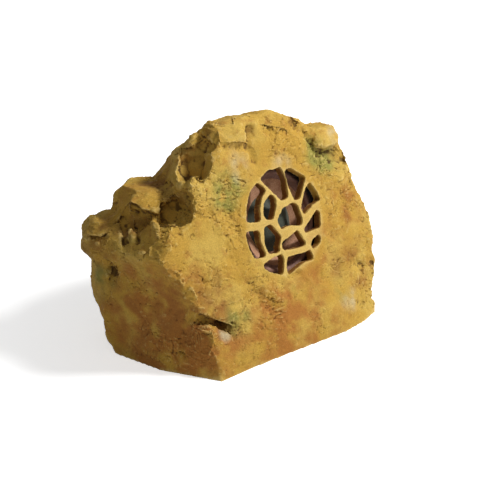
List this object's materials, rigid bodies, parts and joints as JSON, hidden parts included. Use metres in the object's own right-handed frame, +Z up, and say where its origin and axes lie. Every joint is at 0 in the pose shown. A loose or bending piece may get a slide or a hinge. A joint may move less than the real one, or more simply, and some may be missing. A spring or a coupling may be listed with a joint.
{
  "type": "rock shaped garden speaker",
  "caption": "Garden loudspeaker cast as an ochre boulder with a flat leaning front pierced by irregular openings over a round cone driver.",
  "frame": {"origin": "middle of the overall box on the ground, under the stone", "axes": "+Z up, the pierced front faces -Y, +X to the right of someone facing the pierced front"},
  "size_m": [0.368, 0.246, 0.274],
  "materials": {
    "stone_resin": "matt rough cast resin, ochre with brown, green and pale patches",
    "foot_plastic": "matt moulded",
    "foam_seal": "matt foam",
    "plated_steel": "zinc plated",
    "zinc_steel": "zinc plated",
    "painted_steel": "satin black",
    "edge_rubber": "matt",
    "spider_cloth": "varnished weave",
    "cone_paper": "treated paper, brown mauve",
    "cap_cloth": "matt grey green",
    "former_foil": "bright foil",
    "copper_wire": "enamelled copper",
    "ferrite": "matt sintered",
    "board_laminate": "brown laminate",
    "tag_brass": "tinned brass",
    "gland_plastic": "matt moulded",
    "seal_rubber": "matt",
    "block_plastic": "matt off-white",
    "lead_red": "smooth sleeving",
    "lead_black": "smooth sleeving"
  },
  "bodies": {
    "cabinet": {"rock_shell": "stone_resin", "base_plate": "foot_plastic", "base_gasket": "foam_seal", "base_screws": "plated_steel", "driver_gasket": "foam_seal", "driver_basket": "painted_steel", "driver_screws": "plated_steel", "surround": "edge_rubber", "spider": "spider_cloth", "top_plate": "zinc_steel", "magnet": "ferrite", "pole_yoke": "zinc_steel", "terminal_board": "board_laminate", "terminal_tags": "tag_brass", "board_rivet": "tag_brass", "tag_rivets": "tag_brass", "flex_leads": "copper_wire", "gland_body": "gland_plastic", "gland_washer": "seal_rubber", "gland_nut": "gland_plastic", "gland_seal": "seal_rubber", "gland_cap": "gland_plastic", "wiring_block": "block_plastic", "block_sleeves": "tag_brass", "block_clamps": "plated_steel", "block_screw": "plated_steel", "lead_positive": "lead_red", "lead_negative": "lead_black"},
    "cone_assembly": {"cone": "cone_paper", "dust_cap": "cap_cloth", "coil_former": "former_foil", "coil_winding": "copper_wire"}
  },
  "joints": [
    {"name": "cone_travel", "type": "slide", "parent": "cabinet", "child": "cone_assembly", "axis": [0, -0.9511, 0.309], "range_m": [-0.0035, 0.0035], "stiffness_N_per_m": 1500, "deforming": ["surround", "spider", "flex_leads"]}
  ]
}
